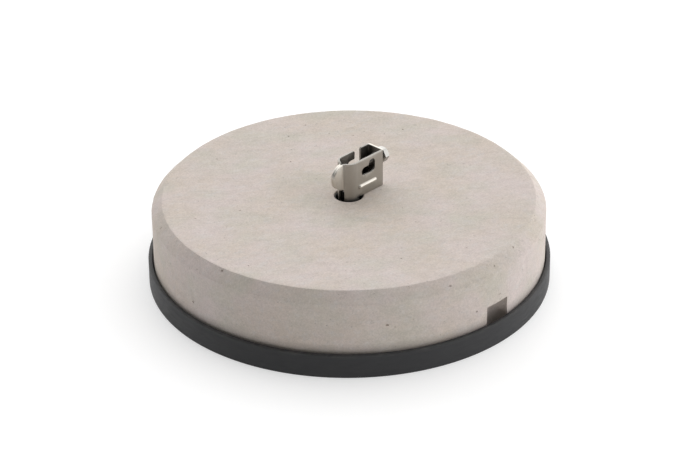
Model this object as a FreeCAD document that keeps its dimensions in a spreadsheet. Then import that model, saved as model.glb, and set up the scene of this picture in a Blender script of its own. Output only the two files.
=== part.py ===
import FreeCAD, Part
import math
import os

import Sketcher

# A free-standing ballast base for an upright 16 mm rod: a round concrete block in an edge tray,
# with a folded stainless clamp standing in the hole at its centre.
# +Z is up, z = 0 is the face that rests on the ground, and +X runs from the rod to the clamp bolt.
SIZES = {
    "tray_radius": 187.5,
    "tray_height": 23.0,
    "tray_wall": 4.1,
    "tray_floor": 3.0,
    "foot_height": 2.0,
    "foot_width": 4.0,
    "rim_foot_width": 9.0,
    "inner_foot_ring": 62.0,
    "outer_foot_ring": 122.0,
    "centre_foot_radius": 22.0,
    "drain_circle": 92.0,
    "drain_radius": 6.0,
    "rim_round": 0.9,
    "block_radius": 182.5,
    "block_top": 81.2,
    "block_chamfer": 9.7,
    "block_foot_bevel": 2.0,
    "notch_half_width": 13.7,
    "notch_top": 40.0,
    "notch_depth": 12.5,
    "notch_corner_radius": 12.0,
    "hole_radius": 13.75,
    "sleeve_recess": 2.0,
    "sleeve_mouth_radius": 12.55,
    "sleeve_foot_radius": 11.9,
    "key_rib_depth": 2.2,
    "key_rib_height": 2.0,
    "lower_key_rib": 24.0,
    "upper_key_rib": 54.0,
    "cap_thickness": 3.0,
    "collar_bottom": 16.0,
    "collar_top": 44.0,
    "collar_gap": 0.3,
    "collar_split_angle": 172.0,
    "band_groove_bottom": 29.0,
    "band_height": 2.0,
    "band_depth": 0.8,
    "band_angle": 336.0,
    "shaft_clearance": 0.06,
    "sheet": 2.0,
    "rod_radius": 8.0,
    "clamp_height": 36.5,
    "lift_gap": 0.3,
    "wall_x": 37.3,
    "bend_radius": 3.0,
    "stem_bottom": 12.0,
    "stem_open_x": 5.0,
    "leg_slot_half": 2.3,
    "ear_centre_x": -8.5,
    "ear_centre_height": 22.5,
    "ear_radius": 12.75,
    "ear_seam_half": 0.06,
    "ear_lowest": 9.7,
    "slot_bottom": 20.1,
    "slot_half": 4.1,
    "slot_near_x": 7.0,
    "slot_far_x": 24.8,
    "slot_bridge": 3.2,
    "bead_start_x": 3.2,
    "bead_end_x": 26.2,
    "bead_height": 10.3,
    "bead_radius": 1.8,
    "bolt_height": 25.2,
    "bolt_radius": 4.0,
    "thread_collar_radius": 4.9,
    "thread_collar_length": 2.0,
    "head_inner_x": 42.5,
    "head_thickness": 5.3,
    "head_across_flats": 13.0,
    "head_chamfer": 0.55,
    "bolt_shoulder_x": 23.5,
    "journal_radius": 2.5,
    "journal_end_x": 21.1,
    "clip_groove_radius": 2.0,
    "clip_start_x": 21.25,
    "clip_thickness": 0.8,
    "clip_radius": 3.3,
    "shoe_face_x": 20.9,
    "shoe_thickness": 2.5,
    "shoe_radius": 4.4,
    "shoe_pocket_radius": 3.6,
    "shoe_pocket_depth": 1.3,
}

FOOT_RIBS = 12
DRAIN_HOLES = 6
NOTCHES = 2
NOTCH_FACETS = 8
OVERSHOOT = 5.0

doc = FreeCAD.newDocument("ballast_base")
sheet = doc.addObject("Spreadsheet::Sheet", "Dimensions")
for row, (alias, number) in enumerate(SIZES.items(), start=1):
    sheet.set(f"A{row}", alias)
    sheet.set(f"B{row}", str(number))
    sheet.setAlias(f"B{row}", alias)
doc.recompute()


class Length:
    """A size together with the sheet formula that gives it."""

    def __init__(self, value, text):
        self.value = value
        self.text = text

    @staticmethod
    def of(other):
        return other if isinstance(other, Length) else Length(float(other), repr(float(other)))

    def __add__(self, other):
        other = Length.of(other)
        return Length(self.value + other.value, f"({self.text} + {other.text})")

    def __sub__(self, other):
        other = Length.of(other)
        return Length(self.value - other.value, f"({self.text} - {other.text})")

    def __mul__(self, other):
        other = Length.of(other)
        return Length(self.value * other.value, f"({self.text} * {other.text})")

    def __truediv__(self, other):
        other = Length.of(other)
        return Length(self.value / other.value, f"({self.text} / {other.text})")

    def __rmul__(self, other):
        return Length.of(other) * self

    def __rsub__(self, other):
        return Length.of(other) - self

    def __neg__(self):
        return Length(-self.value, f"(-1 * {self.text})")


def size(alias):
    return Length(SIZES[alias], f"Dimensions.{alias}")


def bind(owner, prop, length):
    owner.setExpression(prop, Length.of(length).text)


# ---------------------------------------------------------------- sketches and features


def new_body(label):
    return doc.addObject("PartDesign::Body", label)


def origin_plane(body, role):
    return next(item for item in body.Origin.OriginFeatures if item.Role == role)


def new_sketch(body, name, role, offset=0.0):
    """An empty sketch on one of the body's own planes, moved along the plane's normal."""
    sketch = body.newObject("Sketcher::SketchObject", f"{body.Label}_{name}_sketch")
    sketch.AttachmentSupport = [(origin_plane(body, role), "")]
    sketch.MapMode = "FlatFace"
    bind(sketch, "AttachmentOffset.Base.z", offset)
    return sketch


def dimension(sketch, kind, length, *where):
    """One driving dimension, bound to the sheet."""
    number = sketch.addConstraint(Sketcher.Constraint(kind, *where, length.value))
    name = f"d{number}"
    sketch.renameConstraint(number, name)
    bind(sketch, f"Constraints.{name}", length)


def add_polygon(sketch, corners):
    """A closed outline whose corners are each placed from the sketch's origin."""
    points = [(Length.of(u), Length.of(v)) for u, v in corners]
    vectors = [FreeCAD.Vector(u.value, v.value, 0) for u, v in points]
    first = sketch.GeometryCount
    for start, end in zip(vectors, vectors[1:] + vectors[:1]):
        sketch.addGeometry(Part.LineSegment(start, end), False)
    for number, (u, v) in enumerate(points):
        before = first + (number - 1) % len(points)
        sketch.addConstraint(Sketcher.Constraint("Coincident", before, 2, first + number, 1))
        dimension(sketch, "DistanceX", u, -1, 1, first + number, 1)
        dimension(sketch, "DistanceY", v, -1, 1, first + number, 1)


def add_rectangle(sketch, low_u, high_u, low_v, high_v):
    add_polygon(sketch, [(low_u, low_v), (high_u, low_v), (high_u, high_v), (low_u, high_v)])


def add_circle(sketch, u, v, radius):
    u = Length.of(u)
    v = Length.of(v)
    centre = FreeCAD.Vector(u.value, v.value, 0)
    curve = Part.Circle(centre, FreeCAD.Vector(0, 0, 1), radius.value)
    number = sketch.addGeometry(curve, False)
    dimension(sketch, "DistanceX", u, -1, 1, number, 3)
    dimension(sketch, "DistanceY", v, -1, 1, number, 3)
    dimension(sketch, "Radius", radius, number)


def new_feature(body, kind, name, sketch):
    feature = body.newObject(f"PartDesign::{kind}", f"{body.Label}_{name}")
    feature.Profile = sketch
    return feature


def settle(feature):
    """Works the feature out at once, so that a failed one stops the build by name."""
    doc.recompute()
    if "Invalid" in feature.State or "Error" in feature.State:
        raise RuntimeError(f"{feature.Label}: {feature.getStatusString()}")
    return feature


def settle_cut(body, feature, before):
    """The same for a cut, which must also take material away."""
    settle(feature)
    if not body.Shape.Volume < before - 1e-3:
        raise RuntimeError(f"{feature.Label} cut nothing")
    return feature


def pad(body, name, sketch, length, both_ways=False):
    feature = new_feature(body, "Pad", name, sketch)
    bind(feature, "Length", length)
    feature.Midplane = both_ways
    return settle(feature)


def pocket(body, name, sketch, length, both_ways=False, along_normal=False):
    before = body.Shape.Volume
    feature = new_feature(body, "Pocket", name, sketch)
    bind(feature, "Length", length)
    feature.Midplane = both_ways
    feature.Reversed = along_normal
    return settle_cut(body, feature, before)


def revolve(body, name, sketch, angle=360.0, axis="V_Axis", both_ways=False):
    feature = new_feature(body, "Revolution", name, sketch)
    feature.ReferenceAxis = (sketch, [axis])
    bind(feature, "Angle", angle)
    feature.Midplane = both_ways
    return settle(feature)


def groove(body, name, sketch, axis):
    before = body.Shape.Volume
    feature = new_feature(body, "Groove", name, sketch)
    feature.ReferenceAxis = (sketch, [axis])
    feature.Angle = 360.0
    return settle_cut(body, feature, before)


def repeat_round(body, name, feature, count):
    """Copies of one feature, evenly spaced about the vertical axis."""
    axis = next(item for item in body.Origin.OriginFeatures if item.Role == "Z_Axis")
    pattern = body.newObject("PartDesign::PolarPattern", f"{body.Label}_{name}")
    pattern.Originals = [feature]
    pattern.Axis = (axis, [""])
    pattern.Angle = 360.0
    pattern.Occurrences = count
    body.Tip = pattern
    return settle(pattern)


def round_edges(body, name, radius, wanted):
    """A fillet on every edge that the test picks out."""
    picked = [f"Edge{n}" for n, edge in enumerate(body.Shape.Edges, start=1) if wanted(edge)]
    if not picked:
        raise RuntimeError(f"{body.Label}: {name} found no edge")
    sharp = body.Tip
    feature = body.newObject("PartDesign::Fillet", f"{body.Label}_{name}")
    feature.Base = (sharp, picked)
    bind(feature, "Radius", radius)
    body.Tip = feature
    return settle(feature)


def near(value, target, tolerance=1e-3):
    return abs(value - target) < tolerance


# ---------------------------------------------------------------- the tray


def make_edge_tray():
    """The moulded tray: a floor on low feet, with a rim that guards the block's lower edge."""
    body = new_body("edge_tray")
    outer = size("tray_radius")
    inner = outer - size("tray_wall")
    underside = size("foot_height")
    seat = underside + size("tray_floor")
    foot = size("foot_width")

    profile = new_sketch(body, "profile", "XZ_Plane")
    rim_foot = outer - size("rim_foot_width")
    add_polygon(profile, [
        (0, underside), (rim_foot, underside), (rim_foot, 0), (outer, 0),
        (outer, size("tray_height")), (inner, size("tray_height")), (inner, seat), (0, seat),
    ])
    revolve(body, "shell", profile)

    centre_foot = new_sketch(body, "centre_foot", "XY_Plane")
    add_circle(centre_foot, 0, 0, size("centre_foot_radius"))
    pad(body, "centre_foot", centre_foot, underside + size("tray_floor") / 2)

    for name in ("inner_foot_ring", "outer_foot_ring"):
        ring = new_sketch(body, name, "XY_Plane")
        add_circle(ring, 0, 0, size(name) + foot / 2)
        add_circle(ring, 0, 0, size(name) - foot / 2)
        pad(body, name, ring, underside + size("tray_floor") / 2)

    rib = new_sketch(body, "radial_foot", "XY_Plane")
    add_rectangle(rib, size("centre_foot_radius") - foot, rim_foot + foot, -foot / 2, foot / 2)
    rib_pad = pad(body, "radial_foot", rib, underside + size("tray_floor") / 2)
    repeat_round(body, "radial_feet", rib_pad, FOOT_RIBS)

    angle = math.pi / FOOT_RIBS
    drain = new_sketch(body, "drain", "XY_Plane")
    circle_radius = size("drain_circle")
    add_circle(drain, circle_radius * math.cos(angle), circle_radius * math.sin(angle), size("drain_radius"))
    drain_cut = pocket(body, "drain", drain, seat + OVERSHOOT, along_normal=True)
    repeat_round(body, "drains", drain_cut, DRAIN_HOLES)

    def rim_edge(edge):
        box = edge.BoundBox
        level = near(box.ZMin, box.ZMax)
        wide = box.XLength > 2 * SIZES["block_radius"]
        top = near(box.ZMax, SIZES["tray_height"])
        return level and wide and top

    round_edges(body, "rim_round", size("rim_round"), rim_edge)
    return body


# ---------------------------------------------------------------- the block and what is cast into it


def seat_height():
    return size("foot_height") + size("tray_floor")


def sleeve_outline():
    """The sleeve's outer side, from its foot up, with the ribs that key it into the concrete."""
    outer = size("hole_radius")
    ribbed = outer + size("key_rib_depth")
    corners = [(outer, seat_height())]
    for name in ("lower_key_rib", "upper_key_rib"):
        low = size(name)
        high = low + size("key_rib_height")
        corners += [(outer, low), (ribbed, low), (ribbed, high), (outer, high)]
    return corners


def make_concrete_block():
    """The ballast: a disc with a bevelled top edge, a round hole and a low notch on each side."""
    body = new_body("concrete_block")
    radius = size("block_radius")
    top = size("block_top")
    seat = seat_height()
    bevel = size("block_chamfer")
    foot_bevel = size("block_foot_bevel")

    profile = new_sketch(body, "profile", "XZ_Plane")
    add_polygon(profile, sleeve_outline() + [
        (size("hole_radius"), top), (radius - bevel, top), (radius, top - bevel),
        (radius, seat + foot_bevel), (radius - foot_bevel, seat),
    ])
    revolve(body, "disc", profile)

    notch = new_sketch(body, "notch", "XY_Plane", seat)
    add_polygon(notch, notch_plan(radius))
    notch_cut = pocket(body, "notch", notch, size("notch_top") - seat, along_normal=True)
    repeat_round(body, "notches", notch_cut, NOTCHES)
    return body


def notch_plan(radius):
    """A lifting notch seen from above: open at the front, with round inner corners."""
    half = size("notch_half_width")
    corner = size("notch_corner_radius")
    centre_y = radius - size("notch_depth") + corner
    right = []
    for step in range(NOTCH_FACETS + 1):
        turn = math.radians(90 * step / NOTCH_FACETS)
        across = half - corner * (1 - math.cos(turn))
        right.append((across, -(centre_y - corner * math.sin(turn))))
    left = [(-across, along) for across, along in reversed(right)]
    front = -(radius + OVERSHOOT)
    return [(half, front)] + right + left + [(-half, front)]


def make_centre_sleeve():
    """The plastic tube that forms the hole; it narrows downwards and stays in the concrete."""
    body = new_body("centre_sleeve")
    mouth = size("block_top") - size("sleeve_recess")
    profile = new_sketch(body, "profile", "XZ_Plane")
    add_polygon(profile, sleeve_outline() + [
        (size("hole_radius"), mouth), (size("sleeve_mouth_radius"), mouth),
        (size("sleeve_foot_radius"), seat_height()),
    ])
    revolve(body, "tube", profile)
    return body


def make_sleeve_cap():
    """The disc that closes the sleeve's foot; the rod stands on it."""
    body = new_body("sleeve_cap")
    disc = new_sketch(body, "disc", "XY_Plane", seat_height())
    add_circle(disc, 0, 0, size("sleeve_foot_radius"))
    pad(body, "disc", disc, size("cap_thickness"))
    return body


# ---------------------------------------------------------------- the split taper collar


def sleeve_radius_at(height):
    """The sleeve's inner radius at a height above the ground."""
    foot = size("sleeve_foot_radius")
    run = size("block_top") - size("sleeve_recess") - seat_height()
    return foot + (size("sleeve_mouth_radius") - foot) * (height - seat_height()) / run


def make_collar_half(label, side):
    """Half of the tapered collar that centres the clamp's stem; side is +1 for +Y, -1 for -Y."""
    body = new_body(label)
    inner = size("rod_radius") + size("sheet") + size("shaft_clearance")
    low = size("collar_bottom")
    high = size("collar_top")
    groove_low = size("band_groove_bottom")
    groove_high = groove_low + size("band_height")

    def outer(height):
        return sleeve_radius_at(height) - size("collar_gap")

    profile = new_sketch(body, "profile", "YZ_Plane")
    add_polygon(profile, [(side * u, v) for u, v in (
        (inner, low), (outer(low), low),
        (outer(groove_low), groove_low), (outer(groove_low) - size("band_depth"), groove_low),
        (outer(groove_low) - size("band_depth"), groove_high), (outer(groove_high), groove_high),
        (outer(high), high), (inner, high),
    )])
    revolve(body, "half", profile, angle=size("collar_split_angle"), both_ways=True)
    return body


def make_collar_band():
    """The open spring ring that holds the collar's halves on the stem."""
    body = new_body("collar_band")
    low = size("band_groove_bottom")
    outer = sleeve_radius_at(low) - size("collar_gap")
    profile = new_sketch(body, "profile", "XZ_Plane")
    add_rectangle(profile, outer - size("band_depth"), outer, low, low + size("band_height"))
    revolve(body, "ring", profile, angle=size("band_angle"), both_ways=True)
    return body


# ---------------------------------------------------------------- the clamp


def above_block(alias):
    return size("block_top") + size(alias)


def make_clamp_body():
    """One folded sheet: two plates and an end wall, rolled round the rod, with two ears."""
    body = new_body("clamp_body")
    sheet_gauge = size("sheet")
    inner = size("rod_radius")
    outer = inner + sheet_gauge
    wall_x = size("wall_x")
    base = above_block("lift_gap")
    top = above_block("clamp_height")
    stem_bottom = size("stem_bottom")

    box = new_sketch(body, "box", "XY_Plane", base)
    add_rectangle(box, 0, wall_x, -outer, outer)
    pad(body, "box", box, top - base)

    def end_corner(edge):
        box_of_edge = edge.BoundBox
        upright = near(box_of_edge.ZLength, (top - base).value)
        return upright and near(box_of_edge.XMin, wall_x.value)

    round_edges(body, "end_bends", size("bend_radius"), end_corner)

    stem = new_sketch(body, "stem", "XY_Plane", stem_bottom)
    add_circle(stem, 0, 0, outer)
    pad(body, "stem", stem, top - stem_bottom)

    ears = new_sketch(body, "ears", "XZ_Plane")
    add_circle(ears, size("ear_centre_x"), above_block("ear_centre_height"), size("ear_radius"))
    pad(body, "ears", ears, 2 * sheet_gauge, both_ways=True)

    hollow = new_sketch(body, "box_hollow", "XY_Plane", base)
    add_rectangle(hollow, 0, wall_x - sheet_gauge, -inner, inner)
    pocket(body, "box_hollow", hollow, top - base, along_normal=True)

    def inner_corner(edge):
        box_of_edge = edge.BoundBox
        upright = near(box_of_edge.ZLength, (top - base).value)
        return upright and near(box_of_edge.XMin, (wall_x - sheet_gauge).value)

    round_edges(body, "inner_bends", size("bend_radius") - sheet_gauge, inner_corner)

    bore = new_sketch(body, "bore", "XY_Plane", stem_bottom)
    add_circle(bore, 0, 0, inner)
    pocket(body, "bore", bore, top - stem_bottom, along_normal=True)

    seam = new_sketch(body, "ear_seam", "XY_Plane", stem_bottom)
    left = size("ear_centre_x") - size("ear_radius") - 1
    add_rectangle(seam, left, 0, -size("ear_seam_half"), size("ear_seam_half"))
    pocket(body, "ear_seam", seam, top - stem_bottom, along_normal=True)

    slot = new_sketch(body, "leg_slot", "XY_Plane", stem_bottom)
    add_rectangle(slot, left, 0, -size("leg_slot_half"), size("leg_slot_half"))
    pocket(body, "leg_slot", slot, above_block("ear_lowest") - stem_bottom, along_normal=True)

    opening = new_sketch(body, "stem_opening", "XY_Plane", stem_bottom)
    add_rectangle(opening, size("stem_open_x"), outer + 1, -(outer + 1), outer + 1)
    pocket(body, "stem_opening", opening, base - stem_bottom, along_normal=True)

    cut_conductor_slots(body, outer, top)
    add_beads(body, outer)

    collar_length = size("thread_collar_length")
    collar = new_sketch(body, "thread_collar", "YZ_Plane", wall_x - sheet_gauge - collar_length)
    add_circle(collar, 0, above_block("bolt_height"), size("thread_collar_radius"))
    pad(body, "thread_collar", collar, collar_length + sheet_gauge / 2)

    thread = new_sketch(body, "bolt_thread", "YZ_Plane", wall_x + 1)
    add_circle(thread, 0, above_block("bolt_height"), size("bolt_radius") + size("shaft_clearance"))
    pocket(body, "bolt_thread", thread, sheet_gauge + collar_length + 2)
    return body


def cut_conductor_slots(body, outer, top):
    """The bent slot through both plates: in from above, then sideways to the rod."""
    low = above_block("slot_bottom")
    half = size("slot_half")
    near_x = size("slot_near_x")
    far_x = size("slot_far_x")
    drop_x = far_x - 2 * half

    lobe = new_sketch(body, "slot_lobe", "XZ_Plane")
    add_rectangle(lobe, near_x + half, far_x - half, low, low + 2 * half)
    pocket(body, "slot_lobe", lobe, 2 * outer + 2, both_ways=True)

    for name, centre_x in (("slot_near_end", near_x + half), ("slot_far_end", far_x - half)):
        end = new_sketch(body, name, "XZ_Plane")
        add_circle(end, centre_x, low + half, half)
        pocket(body, name, end, 2 * outer + 2, both_ways=True)

    front_drop = new_sketch(body, "front_drop", "XZ_Plane")
    add_rectangle(front_drop, drop_x, far_x, low + half, top - size("slot_bridge"))
    pocket(body, "front_drop", front_drop, outer + 1, along_normal=True)

    back_drop = new_sketch(body, "back_drop", "XZ_Plane")
    add_rectangle(back_drop, drop_x, far_x, low + half, top + 1)
    pocket(body, "back_drop", back_drop, outer + 1)


def add_beads(body, outer):
    """The pressed stiffening bead, one on each plate."""
    for name, side in (("front_bead", -1), ("back_bead", 1)):
        rod = new_sketch(body, name, "YZ_Plane", size("bead_start_x"))
        add_circle(rod, side * outer, above_block("bead_height"), size("bead_radius"))
        pad(body, name, rod, size("bead_end_x") - size("bead_start_x"))


# ---------------------------------------------------------------- the bolt and its pressure shoe


def make_clamp_bolt():
    """The hexagon bolt; the journal at its tip carries the shoe."""
    body = new_body("clamp_bolt")
    height = above_block("bolt_height")
    head_x = size("head_inner_x")
    thickness = size("head_thickness")
    corner_radius = size("head_across_flats") / math.sqrt(3)

    hexagon = new_sketch(body, "head", "YZ_Plane", head_x)
    corners = []
    for step in range(6):
        angle = step * math.pi / 3
        corners.append((corner_radius * math.cos(angle), height + corner_radius * math.sin(angle)))
    add_polygon(hexagon, corners)
    pad(body, "head", hexagon, thickness)

    for name, end_x, radius in (
        ("shank", size("bolt_shoulder_x"), size("bolt_radius")),
        ("journal", size("journal_end_x"), size("journal_radius")),
    ):
        circle = new_sketch(body, name, "YZ_Plane", end_x)
        add_circle(circle, 0, height, radius)
        pad(body, name, circle, head_x - end_x)

    trim = new_sketch(body, "head_chamfer", "XZ_Plane")
    head_end = head_x + thickness
    chamfer = size("head_chamfer")
    add_polygon(trim, [
        (head_end, height + corner_radius - 2 * chamfer),
        (head_end + 1, height + corner_radius - 2 * chamfer),
        (head_end + 1, height + corner_radius + 1), (head_end - chamfer, height + corner_radius + 1),
        (head_end - chamfer, height + corner_radius),
    ])
    turn_about_bolt(body, "head_chamfer", trim, height)

    ring = new_sketch(body, "clip_groove", "XZ_Plane")
    clip_x = size("clip_start_x")
    add_rectangle(
        ring, clip_x, clip_x + size("clip_thickness"),
        height + size("clip_groove_radius"), height + size("journal_radius") + 1,
    )
    turn_about_bolt(body, "clip_groove", ring, height)
    return body


def turn_about_bolt(body, name, sketch, height):
    """A turned cut about the bolt's own axis, drawn as a construction line in the sketch."""
    number = sketch.addGeometry(
        Part.LineSegment(FreeCAD.Vector(0, height.value, 0), FreeCAD.Vector(10, height.value, 0)), True
    )
    dimension(sketch, "DistanceY", height, -1, 1, number, 1)
    sketch.addConstraint(Sketcher.Constraint("Horizontal", number))
    return groove(body, name, sketch, axis="Axis0")


def make_shoe_clip():
    """The retaining ring snapped into the journal's groove."""
    body = new_body("shoe_clip")
    ring = new_sketch(body, "ring", "YZ_Plane", size("clip_start_x"))
    height = above_block("bolt_height")
    add_circle(ring, 0, height, size("clip_radius"))
    add_circle(ring, 0, height, size("clip_groove_radius"))
    pad(body, "ring", ring, size("clip_thickness"))
    return body


def make_pressure_shoe():
    """The round shoe that presses the conductor against the rod; it slides and does not turn."""
    body = new_body("pressure_shoe")
    height = above_block("bolt_height")
    face_x = size("shoe_face_x")
    disc = new_sketch(body, "disc", "YZ_Plane", face_x)
    add_circle(disc, 0, height, size("shoe_radius"))
    pad(body, "disc", disc, size("shoe_thickness"))

    through = new_sketch(body, "journal_hole", "YZ_Plane", face_x)
    add_circle(through, 0, height, size("journal_radius") + size("shaft_clearance"))
    pocket(body, "journal_hole", through, size("shoe_thickness") + 1, along_normal=True)

    recess = new_sketch(body, "clip_pocket", "YZ_Plane", face_x)
    add_circle(recess, 0, height, size("shoe_pocket_radius"))
    pocket(body, "clip_pocket", recess, size("shoe_pocket_depth"), along_normal=True)
    return body


# ---------------------------------------------------------------- build, check and write

subparts = [
    make_edge_tray(),
    make_concrete_block(),
    make_centre_sleeve(),
    make_sleeve_cap(),
    make_collar_half("collar_half_front", -1),
    make_collar_half("collar_half_back", 1),
    make_collar_band(),
    make_clamp_body(),
    make_pressure_shoe(),
    make_shoe_clip(),
    make_clamp_bolt(),
]
doc.recompute()

for item in doc.Objects:
    if "Invalid" in item.State or "Error" in item.State:
        raise RuntimeError(f"{item.Label} failed: {item.State}")
for body in subparts:
    if body.Shape.isNull() or not body.Shape.isValid():
        raise RuntimeError(f"{body.Label} has no valid shape")
    if len(body.Shape.Solids) != 1:
        raise RuntimeError(f"{body.Label} is {len(body.Shape.Solids)} solids")

os.makedirs("parts", exist_ok=True)
for body in subparts:
    body.Shape.exportStep(f"parts/{body.Label}.step")
    print(f"{body.Label}: {body.Shape.Volume / 1000:.2f} cm3")
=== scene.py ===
import math
import random

import bmesh
import bpy
from mathutils import Matrix, Vector, noise


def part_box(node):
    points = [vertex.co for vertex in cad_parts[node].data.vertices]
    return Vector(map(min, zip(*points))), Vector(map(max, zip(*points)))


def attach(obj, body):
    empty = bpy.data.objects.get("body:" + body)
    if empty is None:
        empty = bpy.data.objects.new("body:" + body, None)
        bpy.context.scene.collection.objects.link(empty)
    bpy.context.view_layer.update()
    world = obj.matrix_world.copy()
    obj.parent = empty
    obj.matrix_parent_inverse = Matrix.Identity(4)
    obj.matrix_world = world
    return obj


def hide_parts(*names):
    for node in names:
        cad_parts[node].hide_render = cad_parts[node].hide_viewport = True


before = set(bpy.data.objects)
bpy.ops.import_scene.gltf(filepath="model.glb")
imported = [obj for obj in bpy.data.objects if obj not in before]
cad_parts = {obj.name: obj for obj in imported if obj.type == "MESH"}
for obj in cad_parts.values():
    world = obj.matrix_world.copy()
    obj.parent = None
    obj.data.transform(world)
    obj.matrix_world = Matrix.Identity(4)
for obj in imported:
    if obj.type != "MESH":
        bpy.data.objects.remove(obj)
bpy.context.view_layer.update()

MM = 0.001

# ---------------------------------------------------------------- sizes, read from the frame

tray_low, tray_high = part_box("edge_tray")
block_low, block_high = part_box("concrete_block")
clamp_low, clamp_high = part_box("clamp_body")
bolt_low, bolt_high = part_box("clamp_bolt")
clip_low, clip_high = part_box("shoe_clip")
shoe_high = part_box("pressure_shoe")[1]

TRAY_RADIUS = -tray_low.x
TRAY_HEIGHT = tray_high.z
BLOCK_RADIUS = block_high.x
BLOCK_TOP = block_high.z
BLOCK_SEAT = block_low.z
BOLT_HEIGHT = (bolt_low.z + bolt_high.z) / 2

# ---------------------------------------------------------------- finishes

STROKE_CONTRAST = 0.34
GRAIN_CONTRAST = 0.60


class Value:
    """A shader value that can be used in ordinary arithmetic."""

    def __init__(self, finish, socket):
        self.finish = finish
        self.socket = socket

    def maths(self, operation, first, second=0.0):
        """The result of one sum on this value."""
        return self.finish.node("Math", {"operation": operation}, {0: first, 1: second})

    def __add__(self, other):
        return self.maths("ADD", self, other)

    def __radd__(self, other):
        return self.maths("ADD", other, self)

    def __sub__(self, other):
        return self.maths("SUBTRACT", self, other)

    def __rsub__(self, other):
        return self.maths("SUBTRACT", other, self)

    def __mul__(self, other):
        return self.maths("MULTIPLY", self, other)

    def __rmul__(self, other):
        return self.maths("MULTIPLY", other, self)

    def __truediv__(self, other):
        return self.maths("DIVIDE", self, other)

    def __lt__(self, other):
        return self.maths("LESS_THAN", self, other)

    def larger(self, other):
        return self.maths("MAXIMUM", self, other)

    def unsigned(self):
        return self.maths("ABSOLUTE", self)


class Finish:
    """A procedural material, built from the shader's nodes."""

    def __init__(self, name, **constants):
        self.material = bpy.data.materials.new(name)
        self.material.use_nodes = True
        self.tree = self.material.node_tree
        self.shader = self.tree.nodes["Principled BSDF"]
        for socket, number in constants.items():
            self.give(self.shader.inputs[socket.replace("_", " ")], number)
        self.place = self.node("TexCoord", output="Object")

    def give(self, socket, given):
        """Links a shader value to a socket, or sets the socket to a plain one."""
        if isinstance(given, Value):
            self.tree.links.new(given.socket, socket)
        else:
            socket.default_value = given

    def node(self, kind, settings=None, inputs=None, output=0):
        """Adds one node: its kind, its settings and then its inputs. Gives back one output."""
        made = self.tree.nodes.new("ShaderNode" + kind)
        for name, setting in (settings or {}).items():
            if name == "stops":
                self.set_stops(made.color_ramp, setting)
            else:
                setattr(made, name, setting)
        for name, given in (inputs or {}).items():
            self.give(made.inputs[name], given)
        return Value(self, made.outputs[output])

    @staticmethod
    def set_stops(ramp, stops):
        while len(ramp.elements) < len(stops):
            ramp.elements.new(0.5)
        for element, (position, level) in zip(ramp.elements, stops):
            element.position = position
            element.color = (level, level, level, 1)

    def stretched(self, lengths, turn=0.0, place=None):
        """The place on the piece, with what is drawn there made longer along turned axes."""
        return self.node(
            "Mapping", {"vector_type": "TEXTURE"},
            {"Vector": place or self.place, "Rotation": (0, 0, turn), "Scale": lengths},
        )

    def ragged(self, scale, amount):
        """The place on the piece, pushed about so that round shapes become uneven."""
        push = self.node(
            "TexNoise", {}, {"Vector": self.place, "Scale": scale, "Detail": 2.0}, output="Color"
        )
        centred = self.node("VectorMath", {"operation": "SUBTRACT"}, {0: push, 1: (0.5, 0.5, 0.5)})
        scaled = self.node("VectorMath", {"operation": "SCALE"}, {0: centred, "Scale": amount})
        return self.node("VectorMath", {"operation": "ADD"}, {0: self.place, 1: scaled})

    def noise(self, scale, detail=2.0, roughness=0.5, place=None):
        return self.node(
            "TexNoise", {},
            {"Vector": place or self.place, "Scale": scale, "Detail": detail, "Roughness": roughness},
        )

    def ramp(self, value, *stops):
        return self.node("ValToRGB", {"stops": stops}, {"Fac": value})

    def mix(self, amount, first, second, blend="MIX"):
        return self.node(
            "Mix", {"data_type": "RGBA", "blend_type": blend, "clamp_factor": True},
            {0: amount, 6: first, 7: second}, output=2,
        )

    def height_above(self, low, high):
        """0 below one height and 1 above another, in metres."""
        split = self.node("SeparateXYZ", {}, {0: self.place}, output="Z")
        return self.node(
            "MapRange", {"clamp": True}, {"Value": split, "From Min": low, "From Max": high}
        )

    def bump(self, height, strength, distance):
        return self.node("Bump", {}, {"Height": height, "Strength": strength, "Distance": distance})

    def finish(self, **sockets):
        for socket, given in sockets.items():
            self.give(self.shader.inputs[socket.replace("_", " ")], given)
        return self.material


def rgb(red, green, blue):
    """An opaque colour."""
    return (red, green, blue, 1.0)


def speckles(finish, place, scale, radius, share):
    """Spots of a given radius, in only a share of the cells that they could be in."""
    settings = {"feature": "F1", "voronoi_dimensions": "3D"}
    inputs = {"Vector": place, "Scale": scale}
    distance = finish.node("TexVoronoi", settings, inputs, output="Distance")
    tone = finish.node("TexVoronoi", settings, inputs, output="Color")
    chosen = finish.node("SeparateColor", {}, {0: tone}, output=0) < share
    return finish.ramp(distance / (radius * scale), (0.5, 1.0), (1.0, 0.0)) * chosen


def hairlines(finish, place, scale, width, cover):
    """Thin curved marks along the middle contour of a noise, broken up into short lengths."""
    contour = finish.noise(scale, 3, 0.55, place)
    distance = (contour - 0.5).unsigned()
    broken = finish.ramp(finish.noise(scale * 2.3, 2, 0.5), (cover, 0.0), (cover + 0.04, 1.0))
    return finish.ramp(distance / width, (0.3, 1.0), (1.0, 0.0)) * broken


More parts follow.
